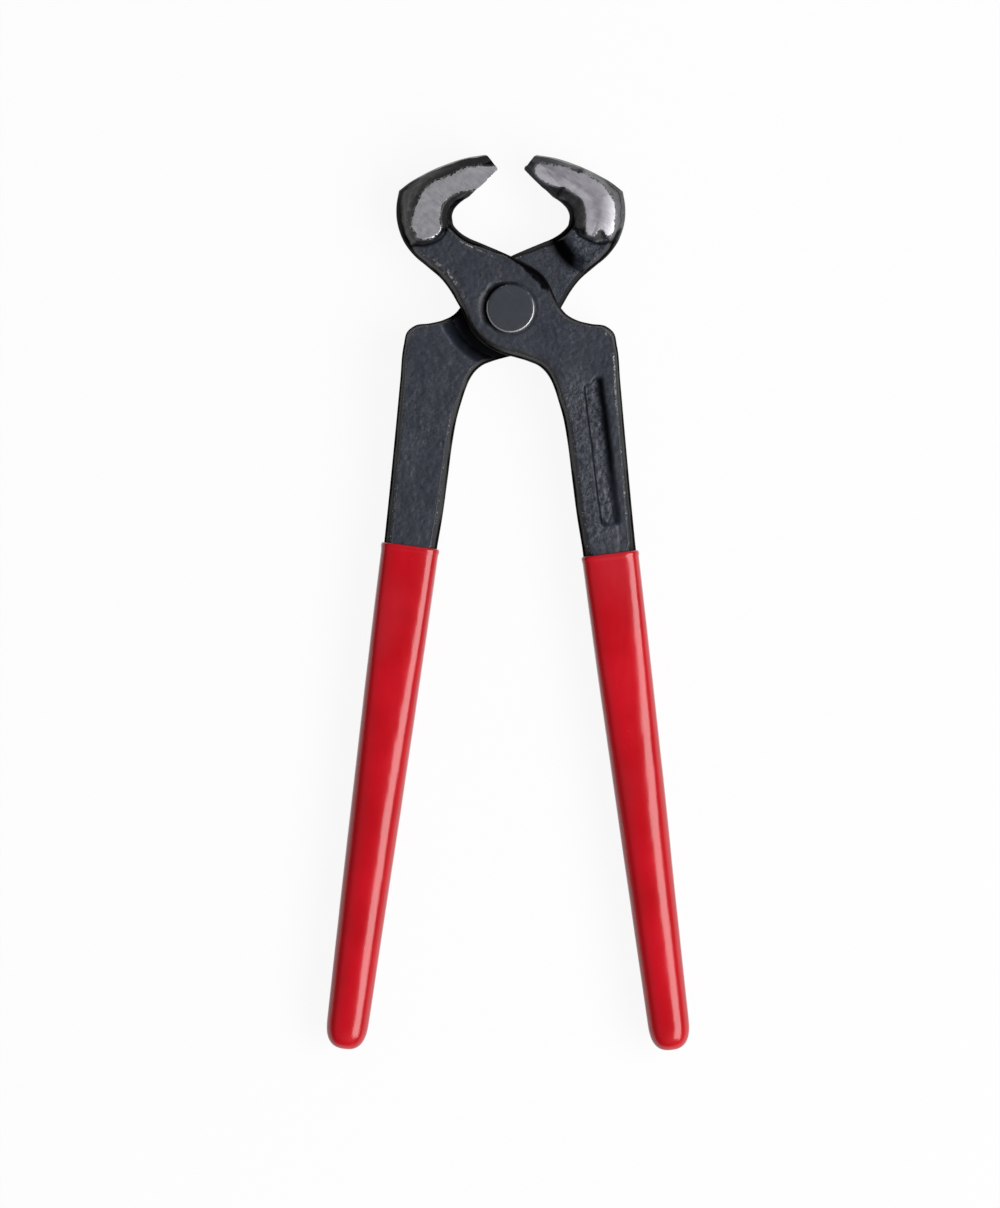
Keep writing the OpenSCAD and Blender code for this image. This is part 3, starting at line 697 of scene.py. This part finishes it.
def forged_steel(name, jaw_tone, bare_tones):
    """Blackened forging scale, mottled and slightly blue, brown along the edges and
    sloping sides, where painted shade darkens it, bare and brushed where a jaw is ground,
    with worn specks and a painted sheen, and near black in the furrows and pockets as
    painted shade, and on the hollow. Each colour is mixed over the last by a mark on the surface,
    a noise or their product, and the marks' borders are torn by the noises."""
    material, output = new_material(name)
    place = Wire.node("ShaderNodeTexCoord", out="Object")
    coarse = grain(place, 240, 4)
    middle = grain(place, 700, 3)
    fine = grain(place, 1700, 3, 0.6)
    ground, edge, band = attribute("ground"), attribute("edge"), attribute("band")
    pocket_shade, black, sheen = attribute("pocket_shade"), attribute("black"), attribute("sheen")
    glint = attribute("glint")
    rough = attribute("grainy").most(grain(place, 55, 2).between(0.48, 0.66) * 0.3)
    rough = rough.most(edge.between(0.1, 0.7) * 0.8)
    bare = (ground + (fine - 0.5) * 0.6 + (middle - 0.5) * 0.4).between(-0.04, 0.04)
    speck = grain(place, 1900, 2, 0.5).between(0.59, 0.66)
    patch = grain(place, 190, 2, 0.5).between(0.45, 0.56)
    worn = speck * patch * edge.between(0.35, 0.8)
    flecks = grain(place, 2300, 2, 0.5).between(0.50, 0.58) * ground.between(-0.7, -0.05)
    specks = grain(place, 1500, 2, 0.5).between(0.50, 0.56) * glint.between(0.2, 0.7)
    worn = worn.most(flecks).most(specks * (patch * 0.5 + 0.5))
    worn = worn.most(glint.between(1.25, 1.5)) * (1 - bare) * (1 - black)
    scale = coarse.between(0.35, 0.7).mixed(*scale_tones)
    scale = (middle.between(0.35, 0.75) * (0.16 + rough * 0.84)).mixed(scale, scale_pale)
    scale = (fine.between(0.62, 0.30) * (0.2 + rough * 0.6)).mixed(scale, scale_deep)
    pits = grain(place, 620, 2, 0.5).between(0.67, 0.73) * 0.75
    scale = pits.mixed(scale, pit_tone)
    # the jaw's tone differs per lever as painted light and shade
    scale = (attribute("jaw") * 0.85).mixed(scale, jaw_tone)
    # the sloping sides and the marks along the edges are painted dark brown: the brown is the
    # scale's, the darkness is painted shade
    scale = (band * 0.85).mixed(scale, brown_shade_tone)
    slant = Wire.node("ShaderNodeMapping", {"Vector": place, "Rotation": (0, 0, brush_turn)})
    scratches = grain(slant, 4200, 3, 0.6, (0.09, 1, 1))
    steel = scratches.between(0.2, 0.8).mixed(*bare_tones)
    # painted sheen: the ground steel is lightened where the sheen mark lies
    steel = (sheen * 0.12 + (middle - 0.5) * 0.2).mixed(steel, sheen_tone)
    # the scale is lightened by the painted sheen beside the hollow and by the pale rim on the
    # crown
    scale = (sheen * (1 - bare) * 0.5).mixed(scale, rim_tone)
    scale = worn.mixed(scale, worn_tone)
    bump = Wire.node("ShaderNodeBump", {
        "Strength": 0.9, "Distance": 0.00018,
        "Height": coarse * 0.8 + middle * (0.35 + rough * 0.7) + fine * (0.15 + rough * 0.7)})
    lines = Wire.node("ShaderNodeBump", {
        "Strength": 0.8, "Distance": 0.00002, "Height": scratches + fine * 0.6})
    dark = Wire.node("ShaderNodeBsdfPrincipled", {
        "Base Color": scale,
        "Roughness": 0.37 + (fine - 0.5) * 0.25 + middle * 0.08 + band * 0.35 + edge * 0.1,
        "Metallic": worn * 0.8, "Normal": bump})
    # near black, for the painted shade and the darkened hollow
    near_black = Wire.node("ShaderNodeBsdfPrincipled", {
        "Base Color": near_black_tone, "Roughness": 0.9, "Normal": bump, "Specular IOR Level": 0.0})
    bright = Wire.node("ShaderNodeBsdfPrincipled", {
        "Base Color": steel, "Roughness": 0.33 + sheen * 0.12 + (middle - 0.5) * 0.16,
        "Metallic": 1.0, "Normal": lines})
    blackening = (pocket_shade * 0.95).most(black * 0.96)
    under = Wire.node("ShaderNodeMixShader", {0: blackening, 1: dark, 2: near_black})
    mixed = Wire.node("ShaderNodeMixShader", {0: bare, 1: under, 2: bright})
    Wire.tree.links.new(mixed.socket, output.inputs["Surface"])
    return material


# The levers are one forging, but their colours differ as painted light and shade: the back lever's
# jaw, lit from the right, is painted lighter than the front one's, and its crowned ground steel,
# which catches the light, is painted darker.
for piece, body, ground, foot, crown, jaw_tone, bare_tones, seed, turned in (
        ("front_lever", "front_half", front_ground, front_foot, 0.05, (0.010, 0.010, 0.0098),
         ((0.61, 0.605, 0.63), (0.75, 0.745, 0.77)), 11, False),
        ("back_lever", "back_half", back_ground, back_foot, 0.50, (0.046, 0.046, 0.050),
         ((0.45, 0.435, 0.47), (0.62, 0.61, 0.645)), 47, True)):
    ring, marks = lever_surface(ground, foot, crown, -1 if turned else 1, seed)
    steel = forged_steel(piece, jaw_tone, bare_tones)
    made_solid(piece + "_forging", on_bench(ring, turned), steel, marks, body, piece)


# The rivet is a turned steel pin with a flat round head at each end, sunk into the bosses
# and left standing a little proud. Use has worn the rims of its heads bright in spots, and
# a painted highlight adds more of them at the lower side.
rivet_r = 4.2
rivet_head_r = 6.0
rivet_face_z = web_t + 0.9
rivet_seat_z = web_t - 1.58
rivet_corner_r = 0.42
rivet_rings = (0, 1.5, 3, 4.2, 5.0)
worn_rim = (0.00550, 0.00575)
rivet_tones = ((0.026, 0.031, 0.041), (0.033, 0.039, 0.050))
rivet_scratch_tone = (0.12, 0.12, 0.13)
rivet_rim_tone = (0.50, 0.50, 0.50)


def lathe(name, profile, segments, material, body, node):
    """Turns a profile of radius and height, in mm, about the pivot axis; its ends are on
    the axis, where all the points of a ring meet in one."""
    turn = np.linspace(0, 2 * np.pi, segments, endpoint=False)
    r, z = np.array(profile).T
    ring = xyz(r[1:-1, None] * np.cos(turn), r[1:-1, None] * np.sin(turn), z[1:-1, None])
    corners = np.vstack([ring.reshape(-1, 3), [(0, 0, z[0]), (0, 0, z[-1])]]) + (0, 0, lap_z)
    rows = len(profile) - 2
    index = np.arange(rows * segments).reshape(rows, segments)
    after = np.roll(index, -1, axis=1)
    quads = np.stack([index[:-1], after[:-1], after[1:], index[1:]], -1).reshape(-1, 4)
    low, high = rows * segments, rows * segments + 1
    first = np.stack([np.full(segments, low), after[0], index[0]], -1)
    last = np.stack([np.full(segments, high), index[-1], after[-1]], -1)
    new_piece(name, corners * mm, quads.tolist() + first.tolist() + last.tolist(),
              material, body, node, sharp=50)


def rivet_half():
    """Radii and heights from the axis of a head over its flat face, its rounded rim and
    its seat to the shank."""
    inner_r, inner_z = rivet_head_r - rivet_corner_r, rivet_face_z - rivet_corner_r
    rim = [(inner_r + rivet_corner_r * np.sin(t), inner_z + rivet_corner_r * np.cos(t))
           for t in np.radians(np.linspace(0, 90, 7))]
    flat = [(r, rivet_face_z) for r in rivet_rings]
    return flat + rim + [(rivet_head_r, rivet_seat_z), (rivet_r, rivet_seat_z), (rivet_r, 1)]


def turned_steel():
    """Dark turned face with faint circular tool marks, which are a noise of the radius,
    slanting scratches, and a rim that is worn bright in spots, with more of them at its
    lower side as a painted highlight."""
    material, output = new_material("rivet_steel")
    place = Wire.node("ShaderNodeTexCoord", out="Object")
    place_x = Wire.node("ShaderNodeSeparateXYZ", {0: place}, out=0)
    place_y = Wire.node("ShaderNodeSeparateXYZ", {0: place}, out=1)
    radius = Wire.maths("SQRT", place_x * place_x + place_y * place_y)
    marks = Wire.node("ShaderNodeTexNoise", {"Scale": 1.0, "Detail": 3.0,
                      "Vector": Wire.node("ShaderNodeCombineXYZ", {0: radius * 5200})}, out="Fac")
    coarse = grain(place, 300, 4)
    fine = grain(place, 1700, 3)
    # painted highlight: more bright spots on the lower side of the rim
    lower_side_highlight = place_y.between(0.0045, -0.003)
    worn = radius.between(*worn_rim) * (fine * 0.4 + grain(place, 200, 2) * 0.4 + lower_side_highlight * 0.35)
    worn = worn.between(0.46, 0.56)
    slant = Wire.node("ShaderNodeMapping", {"Vector": place, "Rotation": (0, 0, 0.75)})
    scratch = grain(slant, 900, 2, 0.5, (0.06, 1, 1)).between(0.64, 0.74) * 0.35
    colour = coarse.between(0.3, 0.7).mixed(*rivet_tones)
    colour = scratch.mixed(colour, rivet_scratch_tone)
    colour = worn.mixed(colour, rivet_rim_tone)
    bump = Wire.node("ShaderNodeBump", {"Strength": 0.35, "Distance": 0.00004,
                                        "Height": marks + fine * 0.7 + coarse})
    shader = Wire.node("ShaderNodeBsdfPrincipled", {
        "Base Color": colour, "Roughness": 0.36 + fine * 0.14, "Metallic": worn * 0.8,
        "Normal": bump})
    Wire.tree.links.new(shader.socket, output.inputs["Surface"])
    return material


half = rivet_half()
lathe("pivot_rivet_turned", [(r, -z) for r, z in half] + half[::-1], segments=128,
      material=turned_steel(), body="back_half", node="pivot_rivet")


# The grips are soft vinyl: each hot handle was dipped in liquid plastic and cured, which
# leaves a thin even skin, a rolled lip at the rim and a smooth drawn-out end.
grip_wall = 0.6
grip_fit = 0.02
grip_end_wall = 2.0
blunt = 0.74
grip_round = (4.2, 2.25)
lip_r = 0.35
bead_h, bead_w, bead_y = 0.16, 0.6, 0.75
collar_l = 3.0
grip_columns, grip_rows = 96, 150
vinyl_tones = ((0.56, 0.0006, 0.0075), (0.67, 0.0012, 0.0125))
milky_tone = (0.55, 0.020, 0.030)
crease_shade_tone = (0.38, 0.0002, 0.004)
flank_reflection_tone = (0.40, 0.036, 0.040)
dust_tone = (0.60, 0.16, 0.16)


def grip_surface(rim_drop, seed):
    """A closed shell in mm with the jaws closed: the inner wall from its end up to the
    rim, over a rolled lip, and the outer wall down to the tip. Sections are
    superellipses whose corners get rounder along the grip, on the handle's middle line;
    the skin swells and sinks slightly, as dipped plastic does. Gives the shell and two
    marks of painted light for its colour, from how far the skin tilts towards the flank:
    a painted reflection on the flank and painted shade along the crease."""
    start, tip = shank_end + rim_drop, tang_end - tang_tip_l
    around = np.linspace(0, 2 * np.pi, grip_columns, endpoint=False)
    roll = np.radians(np.linspace(0, 180, 9))
    lip_y = start + lip_r * (1 - np.sin(roll))
    lip_wall = grip_fit + grip_wall * (1 - np.cos(roll)) / 2
    body_y = np.concatenate([start + lip_r + np.linspace(0, 1, 12)[1:] * collar_l,
                             np.linspace(start + (lip_r + collar_l), tip, grip_rows)[1:]])
    turns = np.radians(np.linspace(0, 90, 28))[1:]
    tip_y = tip + (tang_tip_l + grip_end_wall) * np.sin(turns) ** blunt
    inner_turns = turns[::-3]
    inner_y = np.concatenate([tip + (tang_tip_l + grip_fit) * np.sin(inner_turns),
                              np.linspace(tip, start + lip_r, tang_rings + 1)])
    inner_shrink = np.concatenate([np.cos(inner_turns), np.ones(tang_rings + 1)])
    y = np.concatenate([inner_y, lip_y[1:], body_y, tip_y])
    wall = np.concatenate([np.full(len(inner_y), grip_fit), lip_wall[1:],
                           np.full(len(body_y) + len(tip_y), grip_fit + grip_wall)])
    bead = bead_h * bell(y - start - bead_y, bead_w)
    wall = wall + bead * smooth_step(wall, grip_fit, grip_fit + grip_wall)
    shrink = np.concatenate([inner_shrink, np.ones(len(lip_y) - 1 + len(body_y)),
                             np.cos(turns) ** blunt])
    outer = np.concatenate([np.zeros(len(inner_y)), smooth_step(lip_wall[1:], 0, grip_wall),
                            np.ones(len(body_y) + len(tip_y))])
    share, mid_x, half_w, half_t = handle_section(y)
    half_w, half_t = half_w + wall, half_t + wall
    rounder = smooth_step(share, -0.1, 0.6)
    power = (grip_round[0] + (grip_round[1] - grip_round[0]) * rounder)[:, None]
    c, s = np.cos(around), np.sin(around)
    across = np.sign(c) * np.abs(c) ** (2 / power) * (half_w * shrink)[:, None]
    up = np.sign(s) * np.abs(s) ** (2 / power) * (half_t * shrink)[:, None]
    dx, dy = across * np.cos(handle_turn), across * np.sin(handle_turn)
    point = xyz(mid_x[:, None] + dx, dy - y[:, None], up)
    sag = (0.09 * lumps(point * (1, 0.3, 1), 9, seed)
           + 0.02 * lumps(point * (1, 0.6, 1), 4.5, seed + 1) - 0.14)
    swell = outer[:, None] * sag * np.minimum(1, shrink * 3)[:, None]
    away = xyz(dx, dy, up)
    away = away / np.maximum(np.linalg.norm(away, axis=-1, keepdims=True), 1e-6)
    tilt = np.arctan2((np.abs(c) ** (2 / power)) ** (power - 1) / half_w[:, None],
                      (np.abs(s) ** (2 / power)) ** (power - 1) / half_t[:, None])
    tilt = np.degrees(tilt) * outer[:, None]
    return point + away * swell[..., None], {
        "flank_reflection": smooth_step(tilt, 40, 58) * (1 - 0.8 * smooth_step(tilt, 66, 84)),
        "crease_shade": bell(tilt - 34, 8)}


def dipped_plastic():
    """Glossy red vinyl, clouded and milky by noises, with painted shade along the crease and
    a painted reflection on the flank, with dust specks and a skin that is not quite even."""
    material, output = new_material("dipped_plastic")
    place = Wire.node("ShaderNodeTexCoord", out="Object")
    cloud = grain(place, 60, 3)
    soft = grain(place, 170, 2, 0.5, (1, 0.4, 1))
    fine = grain(place, 1300, 2)
    dust = grain(place, 2600, 1, 0.4).between(0.74, 0.80) * grain(place, 120, 2).between(0.5, 0.7)
    colour = cloud.between(0.3, 0.7).mixed(*vinyl_tones)
    milky = grain(place, 42, 2, 0.5, (1, 0.5, 1)).between(0.54, 0.72) * 0.5
    colour = milky.mixed(colour, milky_tone)
    # painted shade along the crease, and a painted reflection, greyish pink, on the flank
    colour = (attribute("crease_shade") * 0.6).mixed(colour, crease_shade_tone)
    colour = (attribute("flank_reflection") * 0.8).mixed(colour, flank_reflection_tone)
    colour = (dust * 0.35).mixed(colour, dust_tone)
    bump = Wire.node("ShaderNodeBump", {"Strength": 0.6, "Distance": 0.0003,
                                        "Height": soft + fine * 0.02})
    shader = Wire.node("ShaderNodeBsdfPrincipled", {
        "Base Color": colour, "Roughness": 0.11 + cloud * 0.16, "Normal": bump,
        "Specular IOR Level": 0.55})
    Wire.tree.links.new(shader.socket, output.inputs["Surface"])
    return material


plastic = dipped_plastic()
for piece, body, rim_drop, seed, turned in (("front_grip", "front_half", 2.0, 71, False),
                                            ("back_grip", "back_half", 0.2, 83, True)):
    shell, marks = grip_surface(rim_drop, seed)
    made_solid(piece + "_sleeve", on_bench(shell, turned), plastic, marks, body, piece,
               sharp=70)


# The bench is a plain white board in a softly lit room. A broad soft box stands at its
# right and front, like a window.
def white_board():
    """A matt white board that shows white to the camera, and in gloss, and keeps the
    tool's shadow."""
    material, output = new_material("white_board")
    seen = [Wire.node("ShaderNodeLightPath", out=ray)
            for ray in ("Is Camera Ray", "Is Glossy Ray", "Is Transmission Ray")]
    matt = Wire.node("ShaderNodeBsdfDiffuse", {"Color": (0.92, 0.92, 0.92, 1)})
    white = Wire.node("ShaderNodeEmission", {"Color": (1, 1, 1, 1), "Strength": 1.0})
    shown = seen[0].most(seen[1]).most(seen[2])
    mixed = Wire.node("ShaderNodeMixShader", {0: shown * 0.92, 1: matt, 2: white})
    Wire.tree.links.new(mixed.socket, output.inputs["Surface"])
    return material


board = bpy.data.meshes.new("bench")
board_half = 3.0
board_z = -0.0002
board.from_pydata([(x * board_half, y * board_half, board_z)
                   for x, y in ((-1, -1), (1, -1), (1, 1), (-1, 1))], [], [(0, 1, 2, 3)])
board.materials.append(white_board())
bench = bpy.data.objects.new("bench", board)
bpy.context.scene.collection.objects.link(bench)

world = bpy.data.worlds.new("room")
world.use_nodes = True
bpy.context.scene.world = world
Wire.tree = world.node_tree
Wire.tree.nodes.clear()
sky = Wire.tree.nodes.new("ShaderNodeOutputWorld")
ray = Wire.node("ShaderNodeTexCoord", out="Generated")
ray_x = Wire.node("ShaderNodeSeparateXYZ", {0: ray}, out=0)
ray_z = Wire.node("ShaderNodeSeparateXYZ", {0: ray}, out=2)
room = Wire.node("ShaderNodeValToRGB", {0: ray_z}, stops=[
    (0.0, (0.80, 0.80, 0.80, 1)), (0.12, (0.60, 0.60, 0.60, 1)), (0.26, (0.16, 0.16, 0.17, 1)),
    (0.5, (0.24, 0.24, 0.25, 1)), (0.75, (0.45, 0.45, 0.47, 1)), (0.93, (0.34, 0.34, 0.36, 1)),
    (1.0, (0.15, 0.15, 0.16, 1))])
side = ray_x.between(-0.5, 0.5) * 0.7 + 0.48
light = Wire.node("ShaderNodeBackground", {"Color": room, "Strength": side})
Wire.tree.links.new(light.socket, sky.inputs["Surface"])


def soft_lamp(name, place, aim, size, watts, colour):
    """A rectangular soft box at a place, in metres, that faces a point on the bench."""
    lamp = bpy.data.lights.new(name, "AREA")
    lamp.shape = "RECTANGLE"
    lamp.size, lamp.size_y = size
    lamp.energy = watts
    lamp.color = colour
    holder = bpy.data.objects.new(name, lamp)
    bpy.context.scene.collection.objects.link(holder)
    way = np.array(aim) - np.array(place)
    back = -way / np.linalg.norm(way)
    side = np.cross((0, 1, 0), back)
    side = side / np.linalg.norm(side)
    turn = Matrix(np.column_stack([side, np.cross(back, side), back]).tolist())
    holder.matrix_world = Matrix.Translation(place) @ turn.to_4x4()


soft_lamp("window", place=(0.90, -0.36, 1.20), aim=(0, -0.07, 0), size=(0.90, 1.5),
          watts=22.0, colour=(1, 0.995, 0.99))

# The camera looks straight down from well above the tool, as the photograph does
photo_w, photo_h = 1000, 1208
pixel = 0.25 * mm
pivot_px = (509.5, 309.5)
camera_rise = 2.4
camera_turn = 0.19
camera = bpy.data.cameras.new("camera")
camera.sensor_width = 36
camera.lens = camera.sensor_width * camera_rise / (photo_h * pixel)
viewer = bpy.data.objects.new("camera", camera)
bpy.context.scene.collection.objects.link(viewer)
viewer.location = ((photo_w / 2 - pivot_px[0]) * pixel, (pivot_px[1] - photo_h / 2) * pixel,
                   lap_z * mm + camera_rise)
viewer.rotation_euler = Euler((0, 0, np.radians(camera_turn)))
bpy.context.scene.camera = viewer
bpy.context.scene.view_settings.view_transform = "Standard"
